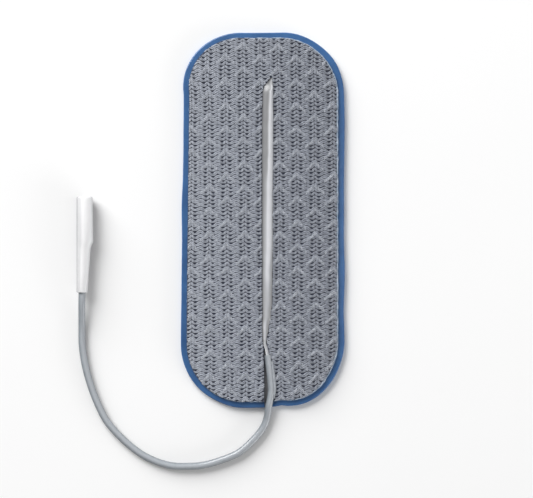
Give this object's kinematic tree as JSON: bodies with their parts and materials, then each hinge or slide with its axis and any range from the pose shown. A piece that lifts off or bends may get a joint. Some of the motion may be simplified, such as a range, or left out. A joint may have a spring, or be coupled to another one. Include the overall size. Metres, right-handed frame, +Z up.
{
  "type": "nerve stimulation electrode pad",
  "caption": "Flat rounded-rectangle stick-on electrode: blue gel layer, slit knitted backing with a sealing bead, and a thin lead with a moulded pigtail socket connector.",
  "frame": {"origin": "centre of the gel's underside, which lies on the ground or on the skin", "axes": "+Z up, out of the pad's cloth side; +Y along the pad's long side, away from the end that the lead leaves by; +X across it"},
  "size_m": [0.0635, 0.1043, 0.004],
  "materials": {
    "gel": "smooth soft hydrogel, satin",
    "knit": "conductive grey knit with a staggered scale pattern",
    "bead": "pale glossy cast bead",
    "strands": "fine tinned strands",
    "insulation": "translucent grey flexible insulation",
    "housing": "white moulded plastic, satin",
    "contact": "nickel plated sheet metal"
  },
  "bodies": {
    "root": {"gel_layer": "gel", "knit_backing": "knit", "seal_bead": "bead", "bare_conductor": "strands", "lead_wire": "insulation", "connector_housing": "housing", "socket_contact": "contact", "crimped_strands": "strands"}
  },
  "joints": []
}
